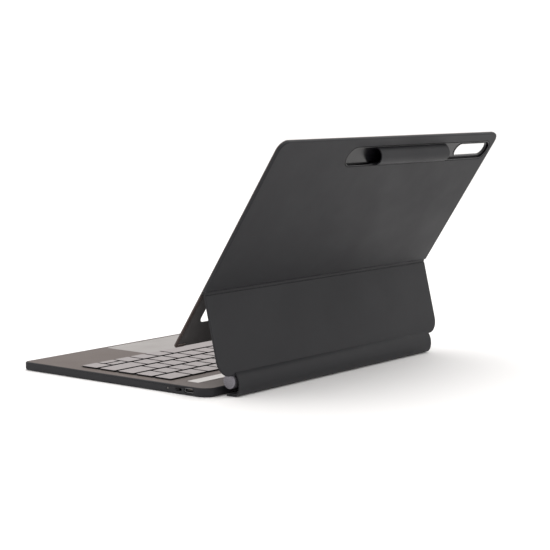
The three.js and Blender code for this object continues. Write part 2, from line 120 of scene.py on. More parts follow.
def pick(kind, test):
    """Selects, in edit mode, the active piece's faces whose middle and normal pass, or its sharp
    edges whose middle and direction pass."""
    bpy.ops.object.mode_set(mode="EDIT")
    bpy.ops.mesh.select_mode(type=kind)
    bpy.ops.mesh.select_all(action="DESELECT")
    bpy.ops.object.mode_set(mode="OBJECT")
    mesh = bpy.context.object.data
    if kind == "FACE":
        for face in mesh.polygons:
            face.select = bool(test(face.center, face.normal))
    else:
        sides = {}
        for face in mesh.polygons:
            for key in face.edge_keys:
                sides.setdefault(key, []).append(face.normal)
        for edge in mesh.edges:
            a, b = (mesh.vertices[i].co for i in edge.vertices)
            flat = len(sides[edge.key]) == 2 and sides[edge.key][0].dot(sides[edge.key][1]) > 0.9
            edge.select = not flat and bool(test((a + b) / 2, (b - a).normalized()))
    bpy.ops.object.mode_set(mode="EDIT")


def round_edges(radius, steps, test):
    """Rounds the active piece's edges that pass."""
    pick("EDGE", test)
    bpy.ops.mesh.bevel(offset=radius, segments=steps, affect="EDGES")
    bpy.ops.object.mode_set(mode="OBJECT")


def add_plate(name, low, high, corner, steps=6, axis=2, foot=None):
    """A block whose four edges along one axis are rounded; the two at its low Y may have a radius
    of their own."""
    plate = add_block(name, low, high)
    for radius, is_foot in ((foot or corner, True), (corner, False)):
        round_edges(radius, steps, lambda place, along: abs(along[axis]) > 0.9
                    and (place.y < (low[1] + high[1]) / 2) == is_foot)
    return plate


def join(*parts):
    """Joins parts into the first one."""
    bpy.ops.object.select_all(action="DESELECT")
    for part in parts:
        part.select_set(True)
    bpy.context.view_layer.objects.active = parts[0]
    bpy.ops.object.join()
    return parts[0]


def carve(piece, *cutters):
    """Cuts the cutters out of a piece and takes them away."""
    cutter = join(*cutters) if len(cutters) > 1 else cutters[0]
    select_only(piece)
    bpy.ops.object.modifier_add(type="BOOLEAN")
    piece.modifiers[-1].object = cutter
    piece.modifiers[-1].solver = "EXACT"
    bpy.ops.object.modifier_apply(modifier=piece.modifiers[-1].name)
    bpy.data.objects.remove(cutter)


def fit(piece, body, nodes, slot, *materials, angle=35):
    """Shades a finished piece, with normals weighted by area so that its flat faces look flat,
    and puts it on its body, in place of its CAD nodes."""
    select_only(piece)
    bpy.ops.object.shade_smooth_by_angle(angle=radians(angle))
    bpy.ops.object.modifier_add(type="WEIGHTED_NORMAL")
    piece.modifiers[-1].keep_sharp = True
    bpy.ops.object.modifier_apply(modifier=piece.modifiers[-1].name)
    for material in materials:
        piece.data.materials.append(material)
    if body:
        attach(piece, body)
    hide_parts(*nodes)


# Polyurethane over microfibre, pressed with a fine grain: matt, with a soft, wide highlight and
# faint patches where hands have polished it. The grain is 0.4 mm on the real one, and is drawn
# at 1.1 mm so that it shows.
soft_touch, shader = new_finish(
    "soft_touch_polyurethane", Sheen_Weight=0.03, Sheen_Roughness=0.5, Specular_IOR_Level=0.28)
place = add_node(soft_touch, "TexCoord")
patches = add_node(soft_touch, "TexNoise", {
    "Vector": place.outputs["Object"], "Scale": 1 / (60 * MM), "Detail": 4, "Roughness": 0.6})
grain = add_node(soft_touch, "TexVoronoi", {
    "Vector": place.outputs["Object"], "Scale": 1 / (1.1 * MM)}, feature="SMOOTH_F1")
tone = add_node(soft_touch, "ValToRGB", {"Fac": patches.outputs["Fac"]})
tone.color_ramp.elements[0].position = 0.3
tone.color_ramp.elements[0].color = srgb("#151519")
tone.color_ramp.elements[1].position = 0.7
tone.color_ramp.elements[1].color = srgb("#1a1a1d")
gloss = add_node(soft_touch, "MapRange", {
    "Value": patches.outputs["Fac"], "From Min": 0.3, "From Max": 0.7, "To Min": 0.5,
    "To Max": 0.62})
relief = add_node(soft_touch, "Bump", {
    "Height": grain.outputs["Distance"], "Strength": 0.25, "Distance": 0.05 * MM})
feed(soft_touch, shader, Base_Color=tone.outputs["Color"], Roughness=gloss.outputs["Result"],
     Normal=relief.outputs["Normal"])

low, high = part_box("base_skin")
WRAP, WRAP_FLOOR, CLEAR = 1.2 * MM, 0.8 * MM, 0.3 * MM
REAR_CORNER, FRONT_CORNER = 10 * MM, 5 * MM
SWITCH_TRAVEL = 2.2 * MM
base_wrap = add_plate("base_wrap", low, high, REAR_CORNER, steps=10, foot=FRONT_CORNER)
round_edges(1.7 * MM, 6, lambda place, along: place.z < low.z + 1e-6)
round_edges(1.1 * MM, 5, lambda place, along: place.z > high.z - 1e-6)
pocket = add_plate("pocket", low + Vector((WRAP, WRAP, WRAP_FLOOR)),
                   high + Vector((-WRAP, -WRAP, MM)), REAR_CORNER - WRAP, steps=10,
                   foot=FRONT_CORNER - WRAP)
port_low, port_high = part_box("usb_c_port")
knob_low, knob_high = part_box("power_switch")
light_low, light_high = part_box("status_led")
side_holes = []
for hole_low, hole_high, travel in (
        (port_low, port_high, 0), (knob_low, knob_high, SWITCH_TRAVEL),
        (light_low, light_high, 0)):
    a = Vector((high.x - 4 * MM, hole_low.y - CLEAR, hole_low.z - CLEAR))
    b = Vector((high.x + MM, hole_high.y + travel + CLEAR, hole_high.z + CLEAR))
    side_holes.append(add_plate("hole", a, b, (b.z - a.z) / 2 - 0.02 * MM, axis=0))
for side in ("left", "right"):
    a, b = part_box("hinge_knuckle_" + side)
    side_holes.append(add_block("hole", (a.x - CLEAR, high.y - 3 * MM, 1.8 * MM),
                                (b.x + CLEAR, high.y + MM, 4.5 * MM)))
carve(base_wrap, pocket)
carve(base_wrap, *side_holes)
select_only(base_wrap)
round_edges(0.25 * MM, 2, lambda place, along: place.x > high.x - 1e-5 and place.y > 0.05
            and 2 * MM < place.z < 5.4 * MM and place.y < port_high.y + 0.4 * MM
            and abs(along.x) < 0.1)
fit(base_wrap, "base", ["base_skin"], "base_wrap", soft_touch)

# ---- Inside of the base --------------------------------------------------------------------
# A moulded tray carries the steel key support plate, the silicone dome sheet, the circuit
# board and the two battery cells. The deck hides them, so they keep their CAD shapes.


def refinish(names, material):
    """Gives CAD nodes their real finish."""
    for name in names:
        for slot in frame["nodes"][name].material_slots:
            slot.material = material


# Black ABS with a polished mould face: dark and glossy, with faint flow marks.
moulded_black, shader = new_finish("polished_black_abs", IOR=1.53, Specular_IOR_Level=0.3)
place = add_node(moulded_black, "TexCoord")
flow = add_node(moulded_black, "TexNoise", {
    "Vector": place.outputs["Object"], "Scale": 1 / (12 * MM), "Detail": 3})
tone = add_node(moulded_black, "ValToRGB", {"Fac": flow.outputs["Fac"]})
tone.color_ramp.elements[0].color = srgb("#09090b")
tone.color_ramp.elements[1].color = srgb("#111013")
gloss = add_node(moulded_black, "MapRange", {
    "Value": flow.outputs["Fac"], "To Min": 0.16, "To Max": 0.3})
feed(moulded_black, shader, Base_Color=tone.outputs["Color"], Roughness=gloss.outputs["Result"])

# Stainless steel, brushed along the case: bright, with fine lines 0.3 mm apart.
brushed_steel, shader = new_finish("brushed_stainless_steel", Metallic=1.0)
place = add_node(brushed_steel, "TexCoord")
along_x = add_node(brushed_steel, "Mapping", {
    "Vector": place.outputs["Object"], "Scale": (20, 1 / (0.3 * MM), 1 / (0.3 * MM))})
lines = add_node(brushed_steel, "TexNoise", {
    "Vector": along_x.outputs["Vector"], "Scale": 1, "Detail": 3})
tone = add_node(brushed_steel, "ValToRGB", {"Fac": lines.outputs["Fac"]})
tone.color_ramp.elements[0].color = srgb("#8e8e91")
tone.color_ramp.elements[1].color = srgb("#b9b8b8")
gloss = add_node(brushed_steel, "MapRange", {
    "Value": lines.outputs["Fac"], "To Min": 0.24, "To Max": 0.42})
feed(brushed_steel, shader, Base_Color=tone.outputs["Color"], Roughness=gloss.outputs["Result"])

# Silicone rubber sheet, moulded with one dome for each 6 mm: milky and soft.
silicone, shader = new_finish("moulded_silicone", IOR=1.41, Roughness=0.6)
place = add_node(silicone, "TexCoord")
domes = add_node(silicone, "TexVoronoi", {
    "Vector": place.outputs["Object"], "Scale": 1 / (6 * MM), "Randomness": 0.0})
tone = add_node(silicone, "ValToRGB", {"Fac": domes.outputs["Distance"]})
tone.color_ramp.elements[0].color = srgb("#e6e4dd")
tone.color_ramp.elements[1].color = srgb("#c9c6bd")
relief = add_node(silicone, "Bump", {
    "Height": domes.outputs["Distance"], "Strength": 0.5, "Distance": 0.3 * MM}, invert=True)
feed(silicone, shader, Base_Color=tone.outputs["Color"], Normal=relief.outputs["Normal"])

# Glass-fibre board under green solder mask, with copper tracks 1.5 mm apart just showing.
solder_mask, shader = new_finish("solder_mask_on_glass_fibre", Roughness=0.35, Coat_Weight=0.3)
place = add_node(solder_mask, "TexCoord")
tracks = add_node(solder_mask, "TexBrick", {
    "Vector": place.outputs["Object"], "Color1": srgb("#1f4a35"), "Color2": srgb("#25543d"),
    "Mortar": srgb("#4a7a4d"), "Scale": 1 / (6 * MM), "Mortar Size": 0.03})
feed(solder_mask, shader, Base_Color=tracks.outputs["Color"])

# Laminated aluminium foil round a lithium cell: soft metal with shallow crinkles 4 mm apart.
pouch_foil, shader = new_finish("laminated_pouch_foil", Metallic=0.9, Roughness=0.38)
place = add_node(pouch_foil, "TexCoord")
crinkle = add_node(pouch_foil, "TexNoise", {
    "Vector": place.outputs["Object"], "Scale": 1 / (4 * MM), "Detail": 5})
tone = add_node(pouch_foil, "ValToRGB", {"Fac": crinkle.outputs["Fac"]})
tone.color_ramp.elements[0].color = srgb("#7f8187")
tone.color_ramp.elements[1].color = srgb("#a3a5a9")
relief = add_node(pouch_foil, "Bump", {
    "Height": crinkle.outputs["Fac"], "Strength": 0.4, "Distance": 0.1 * MM})
feed(pouch_foil, shader, Base_Color=tone.outputs["Color"], Normal=relief.outputs["Normal"])

refinish(["base_tray"], moulded_black)
refinish(["key_support_plate"], brushed_steel)
refinish(["dome_sheet"], silicone)
refinish(["logic_board"], solder_mask)
refinish(["battery_left", "battery_right"], pouch_foil)

# ---- Deck plate ----------------------------------------------------------------------------
# The warm grey top of the base: a thin polycarbonate plate, moulded with a hole for every key,
# the trackpad and the contact strip. It is sprayed warm grey, painted black round the keys as
# shade for the gaps between them, and drops into the wrap.

PITCH, GAP, KEY_CLEAR = 17.75 * MM, 2.2 * MM, 0.45 * MM
key_nodes = sorted(name for name in frame["nodes"] if name.startswith("key"))
key_nodes.remove("key_support_plate")
caps = {}
for name in key_nodes:
    low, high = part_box(name)
    if name.startswith("keys_"):
        count = round((high.x - low.x + GAP) / PITCH)
        starts = [low.x + i * PITCH for i in range(count)]
        caps[name] = [((x, low.y), (x + PITCH - GAP, high.y)) for x in starts]
    else:
        caps[name] = [((low.x, low.y), (high.x, high.y))]

# Satin lacquer with fine aluminium flake, 0.15 mm across and drawn at 0.8 mm so that it shows:
# warm grey, a little brighter where it catches the light.
deck_lacquer, shader = new_finish("metallic_satin_lacquer", Metallic=0.1, Specular_IOR_Level=0.12)
place = add_node(deck_lacquer, "TexCoord")
flake = add_node(deck_lacquer, "TexVoronoi", {
    "Vector": place.outputs["Object"], "Scale": 1 / (0.8 * MM)})
shade = add_node(deck_lacquer, "TexNoise", {
    "Vector": place.outputs["Object"], "Scale": 1 / (50 * MM), "Detail": 3})
tone = add_node(deck_lacquer, "ValToRGB", {"Fac": flake.outputs["Distance"]})
tone.color_ramp.elements[0].color = srgb("#635954")
tone.color_ramp.elements[1].color = srgb("#564c48")
gloss = add_node(deck_lacquer, "MapRange", {
    "Value": shade.outputs["Fac"], "To Min": 0.4, "To Max": 0.58})
relief = add_node(deck_lacquer, "Bump", {
    "Height": flake.outputs["Distance"], "Strength": 0.08, "Distance": 0.03 * MM})
# Painted shade: the well that the keys stand in is coloured black for the shadow between the keys.
starts = [a for places in caps.values() for a, b in places]
ends = [b for places in caps.values() for a, b in places]
shaded_well = [(min(a[i] for a in starts) - MM, max(b[i] for b in ends) + MM) for i in (0, 1)]
axes = add_node(deck_lacquer, "SeparateXYZ", {"Vector": place.outputs["Object"]})
in_shaded_well = []
for axis, (start, end) in zip("XY", shaded_well):
    test = add_node(deck_lacquer, "Math", {0: axes.outputs[axis], 1: (start + end) / 2,
                                           2: (end - start) / 2}, operation="COMPARE")
    in_shaded_well.append(test.outputs["Value"])
painted_shade_mask = add_node(deck_lacquer, "Math", {0: in_shaded_well[0], 1: in_shaded_well[1]}, operation="MULTIPLY")
# Mixes the black painted shade into the lacquer inside the well.
lacquer_and_painted_shade = add_node(deck_lacquer, "MixRGB", {
    "Fac": painted_shade_mask.outputs["Value"], "Color1": tone.outputs["Color"], "Color2": srgb("#0b0a0a")})
feed(deck_lacquer, shader, Base_Color=lacquer_and_painted_shade.outputs["Color"], Roughness=gloss.outputs["Result"],
     Normal=relief.outputs["Normal"])

low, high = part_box("deck_plate")
deck = add_plate("deck", low, high, REAR_CORNER - WRAP - CLEAR, steps=8,
                 foot=FRONT_CORNER - WRAP - CLEAR)
holes = [add_block("hole", (a[0] - KEY_CLEAR, a[1] - KEY_CLEAR, low.z - MM),
                   (b[0] + KEY_CLEAR, b[1] + KEY_CLEAR, high.z + MM))
         for places in caps.values() for a, b in places]
pad_low, pad_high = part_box("trackpad_glass")
holes.append(add_plate("hole", (pad_low.x - CLEAR, pad_low.y - CLEAR, low.z - MM),
                       (pad_high.x + CLEAR, pad_high.y + CLEAR, high.z + MM), 3 * MM))
strip_low, strip_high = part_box("contact_strip")
holes.append(add_block(
    "hole", (strip_low.x - CLEAR, strip_low.y - CLEAR, strip_low.z - CLEAR),
    (strip_high.x + CLEAR, strip_high.y + CLEAR, high.z + MM)))
carve(deck, *holes)
select_only(deck)
round_edges(0.15 * MM, 2, lambda place, along: place.z > high.z - 1e-6)
fit(deck, "base", ["deck_plate"], "deck_finish", deck_lacquer, angle=40)

# ---- Keys ----------------------------------------------------------------------------------
# Flat keycaps of ABS: a light warm grey top, dished a little for the finger, with its sides
# painted near-black as shade. Each cap stands in its own hole. The letter caps of a row ride on one
# web under the deck.

# Moulded ABS top, spark-eroded to a fine matt of 0.2 mm, drawn at 0.7 mm: light warm grey, and
# smoother in patches where fingers land.
key_top, shader = new_finish("spark_eroded_abs", IOR=1.53, Specular_IOR_Level=0.35)
place = add_node(key_top, "TexCoord")
matt = add_node(key_top, "TexNoise", {
    "Vector": place.outputs["Object"], "Scale": 1 / (0.7 * MM), "Detail": 3})
touch = add_node(key_top, "TexNoise", {
    "Vector": place.outputs["Object"], "Scale": 1 / (16 * MM), "Detail": 2})
tone = add_node(key_top, "ValToRGB", {"Fac": touch.outputs["Fac"]})
tone.color_ramp.elements[0].color = srgb("#8a8383")
tone.color_ramp.elements[1].color = srgb("#958e8e")
gloss = add_node(key_top, "MapRange", {
    "Value": touch.outputs["Fac"], "To Min": 0.42, "To Max": 0.6})
relief = add_node(key_top, "Bump", {
    "Height": matt.outputs["Fac"], "Strength": 0.15, "Distance": 0.03 * MM})
feed(key_top, shader, Base_Color=tone.outputs["Color"], Roughness=gloss.outputs["Result"],
     Normal=relief.outputs["Normal"])

# Near-black matt ABS on the keys' sides and the row webs: painted shade, so the gaps between keys
# stay dark.
key_side_shade, shader = new_finish("dark_abs_painted_shade", IOR=1.53, Specular_IOR_Level=0.2)
place = add_node(key_side_shade, "TexCoord")
matt = add_node(key_side_shade, "TexNoise", {
    "Vector": place.outputs["Object"], "Scale": 1 / (0.7 * MM), "Detail": 3})
tone = add_node(key_side_shade, "ValToRGB", {"Fac": matt.outputs["Fac"]})
tone.color_ramp.elements[0].color = srgb("#070606")
tone.color_ramp.elements[1].color = srgb("#0e0c0c")
gloss = add_node(key_side_shade, "MapRange", {
    "Value": matt.outputs["Fac"], "To Min": 0.45, "To Max": 0.65})
feed(key_side_shade, shader, Base_Color=tone.outputs["Color"], Roughness=gloss.outputs["Result"])


def model_cap(width, depth, height):
    """One keycap with its foot at the origin: rounded, with a dished top and sides painted dark as
    shade.
    """
    cap = add_plate("cap", (-width / 2, -depth / 2, 0), (width / 2, depth / 2, height),
                    1.2 * MM, steps=4)
    round_edges(0.2 * MM, 2, lambda place, along: place.z > height - 1e-6)
    pick("FACE", lambda place, normal: normal.z > 0.99)
    for border in (1.4 * MM, 4.4 * MM):
        bpy.ops.mesh.extrude_region_move(TRANSFORM_OT_translate={"value": (0, 0, -0.04 * MM)})
        bpy.ops.transform.resize(value=(1 - border / width, 1 - border / depth, 1))
    bpy.ops.object.mode_set(mode="OBJECT")
    cap.data.materials.append(key_top)
    cap.data.materials.append(key_side_shade)
    # Every face that is not turned up takes the painted shade.
    pick("FACE", lambda place, normal: normal.z < 0.9)
    cap.active_material_index = 1
    bpy.ops.object.material_slot_assign()
    bpy.ops.object.mode_set(mode="OBJECT")
    return cap


models = {}
for name, places in caps.items():
    low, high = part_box(name)
    foot = low.z if len(places) == 1 else low.z + 0.1 * MM
    parts = []
    for a, b in places:
        size = (round(b[0] - a[0], 5), round(b[1] - a[1], 5), round(high.z - foot, 5))
        if size not in models:
            models[size] = model_cap(*size)
        select_only(models[size])
        bpy.ops.object.duplicate()
        bpy.ops.transform.translate(value=((a[0] + b[0]) / 2, (a[1] + b[1]) / 2, foot))
        bpy.ops.object.transform_apply()
        parts.append(bpy.context.object)
    if len(places) > 1:
        middle = (low.y + high.y) / 2
        web = add_plate("web", (low.x + MM, middle - 2.5 * MM, low.z),
                        (high.x - MM, middle + 2.5 * MM, low.z + 0.3 * MM), 1.5 * MM)
        web.data.materials.append(key_side_shade)
        parts.append(web)
        join(*parts)
    cap_name = name.replace("keys_", "caps_") if len(places) > 1 else name.replace("key_", "cap_")
    parts[0].name = parts[0].data.name = cap_name
    fit(parts[0], name, [name], "key_plastic", angle=40)
for model in models.values():
    bpy.data.objects.remove(model)

# ---- Trackpad and contact strip ------------------------------------------------------------
# The trackpad is a sheet of etched glass, printed grey behind, that tips down onto its switch.
# The contact strip is a brushed aluminium bar glued into a slot behind the keys.

# Acid-etched glass over a light grey print: smooth, even and faintly glossy, with an etch of
# 0.1 mm drawn at 0.9 mm.
etched_glass, shader = new_finish("etched_glass_over_print", IOR=1.5, Coat_Weight=0.05,
                                  Coat_Roughness=0.25, Specular_IOR_Level=0.25)
place = add_node(etched_glass, "TexCoord")
etch = add_node(etched_glass, "TexNoise", {
    "Vector": place.outputs["Object"], "Scale": 1 / (0.9 * MM), "Detail": 4})
smear = add_node(etched_glass, "TexNoise", {
    "Vector": place.outputs["Object"], "Scale": 1 / (25 * MM), "Detail": 3})
tone = add_node(etched_glass, "ValToRGB", {"Fac": etch.outputs["Fac"]})
tone.color_ramp.elements[0].color = srgb("#7b7572")
tone.color_ramp.elements[1].color = srgb("#86807d")
gloss = add_node(etched_glass, "MapRange", {
    "Value": smear.outputs["Fac"], "To Min": 0.24, "To Max": 0.4})
feed(etched_glass, shader, Base_Color=tone.outputs["Color"], Roughness=gloss.outputs["Result"])

pad = add_plate("trackpad", pad_low, pad_high, 2.7 * MM, steps=8)
round_edges(0.3 * MM, 3, lambda place, along: place.z > pad_high.z - 1e-6)
fit(pad, "trackpad", ["trackpad_glass"], "pad_glass", etched_glass)

# Aluminium brushed along its length and clear anodised: pale, with lines 0.5 mm apart.
brushed_aluminium, shader = new_finish("brushed_clear_anodised_aluminium", Metallic=1.0,
                                       Anisotropic=0.4)
place = add_node(brushed_aluminium, "TexCoord")
along_x = add_node(brushed_aluminium, "Mapping", {
    "Vector": place.outputs["Object"], "Scale": (12, 1 / (0.5 * MM), 1 / (0.5 * MM))})
lines = add_node(brushed_aluminium, "TexNoise", {
    "Vector": along_x.outputs["Vector"], "Scale": 1, "Detail": 4})
tone = add_node(brushed_aluminium, "ValToRGB", {"Fac": lines.outputs["Fac"]})
tone.color_ramp.elements[0].color = srgb("#aeaaa7")
tone.color_ramp.elements[1].color = srgb("#c9c5c2")
gloss = add_node(brushed_aluminium, "MapRange", {
    "Value": lines.outputs["Fac"], "To Min": 0.25, "To Max": 0.45})
feed(brushed_aluminium, shader, Base_Color=tone.outputs["Color"],
     Roughness=gloss.outputs["Result"])

strip = add_plate("contact_bar", strip_low, strip_high, 1 * MM, steps=5)
round_edges(0.14 * MM, 3, lambda place, along: place.z > strip_high.z - 1e-6)
fit(strip, "base", ["contact_strip"], "satin_metal", brushed_aluminium)

# ---- Port, power switch and light ----------------------------------------------------------
# The socket is a drawn steel shell with a moulded tongue and gold contacts. The switch's knob
# slides in its slot, with three ribs for a fingernail, and the light has a small smoked lens.

# Gold plating on copper contacts: warm, bright metal with a slightly mottled plate.
gold_plate, shader = new_finish("gold_plated_contacts", Metallic=1.0, Roughness=0.22)
place = add_node(gold_plate, "TexCoord")
mottle = add_node(gold_plate, "TexNoise", {
    "Vector": place.outputs["Object"], "Scale": 1 / (0.3 * MM)})
tone = add_node(gold_plate, "ValToRGB", {"Fac": mottle.outputs["Fac"]})
tone.color_ramp.elements[0].color = srgb("#c9a24a")
tone.color_ramp.elements[1].color = srgb("#e0bd68")
feed(gold_plate, shader, Base_Color=tone.outputs["Color"])

shell = add_plate("port", port_low, port_high, (port_high.z - port_low.z) / 2 - 0.02 * MM,
                  steps=8, axis=0)
pick("FACE", lambda place, normal: normal.x > 0.9)
bpy.ops.mesh.inset(thickness=0.3 * MM)
bpy.ops.mesh.extrude_region_move(TRANSFORM_OT_translate={"value": (-6.3 * MM, 0, 0)})
bpy.ops.object.mode_set(mode="OBJECT")
round_edges(0.1 * MM, 2, lambda place, along: place.x > port_high.x - 1e-6)
shell.data.materials.append(brushed_steel)
middle = (port_low + port_high) / 2
tongue = add_plate("tongue", (port_low.x + 0.5 * MM, middle.y - 3.1 * MM, middle.z - 0.35 * MM),
                   (port_high.x - 0.8 * MM, middle.y + 3.1 * MM, middle.z + 0.35 * MM),
                   0.5 * MM, steps=3)
round_edges(0.12 * MM, 2, lambda place, along: place.x > port_high.x - 0.85 * MM)
tongue.data.materials.append(moulded_black)
contact = add_plate("contact", (port_high.x - 4.5 * MM, middle.y - 2.62 * MM,
                                middle.z + 0.33 * MM),
                    (port_high.x - 1.3 * MM, middle.y - 2.38 * MM, middle.z + 0.39 * MM),
                    0.05 * MM, steps=1)
contact.data.materials.append(gold_plate)
bpy.ops.object.modifier_add(type="ARRAY")
row = contact.modifiers[-1]
row.count, row.use_relative_offset, row.use_constant_offset = 11, False, True
row.constant_offset_displace = (0, 0.49 * MM, 0)
bpy.ops.object.modifier_apply(modifier=row.name)
fit(join(shell, tongue, contact), "base", ["usb_c_port"], "steel")

RIB = 0.3 * MM
knob = add_plate("power_knob", knob_low, knob_high - Vector((RIB, 0, 0)), 0.6 * MM, steps=4,
                 axis=0)
round_edges(0.15 * MM, 2, lambda place, along: place.x > knob_high.x - RIB - 1e-5)
middle = (knob_low + knob_high) / 2
ribs = []
for step in (-1, 0, 1):
    rib = add_block("rib", (knob_high.x - 0.5 * MM, middle.y + step * MM - 0.2 * MM,
                            knob_low.z + 0.1 * MM),
                    (knob_high.x, middle.y + step * MM + 0.2 * MM, knob_high.z - 0.1 * MM))
    round_edges(0.12 * MM, 2, lambda place, along: place.x > knob_high.x - 1e-6)
    ribs.append(rib)
fit(join(knob, *ribs), "switch_knob", ["power_switch"], "black_plastic", moulded_black)

# Smoked polycarbonate: an unlit light pipe that scatters a little of what falls on it.
smoked_lens, shader = new_finish("smoked_polycarbonate", IOR=1.58, Roughness=0.25)
place = add_node(smoked_lens, "TexCoord")
cloud = add_node(smoked_lens, "TexNoise", {
    "Vector": place.outputs["Object"], "Scale": 1 / (0.5 * MM)})
tone = add_node(smoked_lens, "ValToRGB", {"Fac": cloud.outputs["Fac"]})
tone.color_ramp.elements[0].color = srgb("#5b5956")
tone.color_ramp.elements[1].color = srgb("#807d78")
feed(smoked_lens, shader, Base_Color=tone.outputs["Color"])


def add_round(name, radius, x0, x1, y, z, sides=48):
    """A round bar along X, with its place in its mesh."""
    bpy.ops.object.select_all(action="DESELECT")
    bpy.ops.mesh.primitive_cylinder_add(vertices=sides, radius=radius, depth=x1 - x0,
                                        location=((x0 + x1) / 2, y, z), rotation=(0, pi / 2, 0))
    bpy.ops.object.transform_apply()
    bar = bpy.context.object
    bar.name = bar.data.name = name
    return bar


middle = (light_low + light_high) / 2
lens = add_round("light_lens", (light_high.z - light_low.z) / 2, light_low.x, light_high.x,
                 middle.y, middle.z, sides=24)
round_edges(0.3 * MM, 4, lambda place, along: place.x > light_high.x - 1e-6)
fit(lens, "base", ["status_led"], "lens", smoked_lens)

# ---- Hinge knuckles and pins ---------------------------------------------------------------
# Two steel knuckles come out of the base under the barrel, and a steel pin through each one
# carries the barrel. They keep their CAD shapes.

refinish(["hinge_knuckle_left", "hinge_knuckle_right", "hinge_pin_left", "hinge_pin_right"],
         brushed_steel)

# ---- Hinge barrel --------------------------------------------------------------------------
# An aluminium tube in three lengths, turned and chamfered, with a disc pressed into each open
# end. It is blasted and anodised a mid grey. The flap's steel leaves are welded to it.

# Bead-blasted, grey anodised aluminium: an even satin with a fine sparkle, drawn at 0.6 mm.
blasted_aluminium, shader = new_finish("bead_blasted_anodised_aluminium", Metallic=0.85)
place = add_node(blasted_aluminium, "TexCoord")
blast = add_node(blasted_aluminium, "TexNoise", {
    "Vector": place.outputs["Object"], "Scale": 1 / (0.6 * MM), "Detail": 3})
tone = add_node(blasted_aluminium, "ValToRGB", {"Fac": blast.outputs["Fac"]})
tone.color_ramp.elements[0].position = 0.35
tone.color_ramp.elements[0].color = srgb("#6d6b6f")
tone.color_ramp.elements[1].position = 0.65
tone.color_ramp.elements[1].color = srgb("#8b898f")
gloss = add_node(blasted_aluminium, "MapRange", {
    "Value": blast.outputs["Fac"], "To Min": 0.4, "To Max": 0.6})
relief = add_node(blasted_aluminium, "Bump", {
    "Height": blast.outputs["Fac"], "Strength": 0.3, "Distance": 0.05 * MM})
feed(blasted_aluminium, shader, Base_Color=tone.outputs["Color"],
     Roughness=gloss.outputs["Result"], Normal=relief.outputs["Normal"])

low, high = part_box("barrel_center")
AXIS = Vector((0, (low.y + high.y) / 2, (low.z + high.z) / 2))
BARREL = (high.z - low.z) / 2
for name in ("barrel_center", "barrel_end_left", "barrel_end_right"):
    low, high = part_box(name)
    barrel = add_round(name.replace("barrel", "tube"), BARREL, low.x, high.x, AXIS.y, AXIS.z)
    pick("FACE", lambda place, normal: abs(normal.x) > 0.9)
    bpy.ops.mesh.inset(thickness=BARREL - 3 * MM)
    bpy.ops.mesh.bridge_edge_loops()
    bpy.ops.object.mode_set(mode="OBJECT")
    round_edges(0.3 * MM, 2, lambda place, along: abs(along.x) < 0.1
                and (place - AXIS).yz.length > BARREL - 0.1 * MM)
    fit(barrel, "flap", [name], "hinge_metal", blasted_aluminium)

CAP = 1.2 * MM
for name in ("barrel_cap_left", "barrel_cap_right"):
    low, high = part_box(name)
    outward = 1 if high.x > 0 else -1
    face = high.x if outward > 0 else low.x
    back = face - outward * CAP
    end_cap = add_round(name.replace("barrel", "disc"), BARREL, min(face, back), max(face, back),
                        AXIS.y, AXIS.z)
    round_edges(0.6 * MM, 4, lambda place, along: abs(place.x - face) < 1e-6)
    pick("FACE", lambda place, normal: normal.x * outward > 0.99)
    bpy.ops.mesh.inset(thickness=0.6 * MM)
    bpy.ops.mesh.inset(thickness=0.2 * MM)
    bpy.ops.transform.translate(value=(-outward * 0.15 * MM, 0, 0))
    pick("FACE", lambda place, normal: normal.x * outward < -0.99)
    bpy.ops.mesh.inset(thickness=BARREL - 2.7 * MM)
    bpy.ops.mesh.extrude_region_move(
        TRANSFORM_OT_translate={"value": (-outward * 4 * MM, 0, 0)})
    bpy.ops.object.mode_set(mode="OBJECT")
    fit(end_cap, "flap", [name], "hinge_metal", blasted_aluminium)

refinish(["hinge_leaf_left", "hinge_leaf_right"], brushed_steel)

# ---- Spine wrap ----------------------------------------------------------------------------
# One strip of the polyurethane sheet, 1 mm thick. It is glued under the base's rear edge, comes
# up round the back of the barrel and runs on into the flap with a soft crease. Its two ends are
# cut, so they show the brownish microfibre core.

# Cut and dyed edge of the coated microfibre: fibrous, matt and browner than the face.
cut_edge, shader = new_finish("cut_microfibre_edge", Roughness=0.85, Sheen_Weight=0.3)
place = add_node(cut_edge, "TexCoord")
fibre = add_node(cut_edge, "TexNoise", {
    "Vector": place.outputs["Object"], "Scale": 1 / (0.5 * MM), "Detail": 4})
tone = add_node(cut_edge, "ValToRGB", {"Fac": fibre.outputs["Fac"]})
tone.color_ramp.elements[0].color = srgb("#3a3330")
tone.color_ramp.elements[1].color = srgb("#5d534e")
relief = add_node(cut_edge, "Bump", {
    "Height": fibre.outputs["Fac"], "Strength": 0.4, "Distance": 0.1 * MM})
feed(cut_edge, shader, Base_Color=tone.outputs["Color"], Normal=relief.outputs["Normal"])


def smooth_path(points, steps=4):
    """A smooth run of (y, z) points through the given ones."""
    ends = [points[0], *points, points[-1]]
    path = []
    for a, b, c, d in zip(ends, ends[1:], ends[2:], ends[3:]):
        for i in range(steps):
            t = i / steps
            path.append([
                0.5 * (2 * q + (r - p) * t + (2 * p - 5 * q + 4 * r - s) * t ** 2
                       + (3 * q - p - 3 * r + s) * t ** 3) for p, q, r, s in zip(a, b, c, d)])
    return [*path, list(points[-1])]


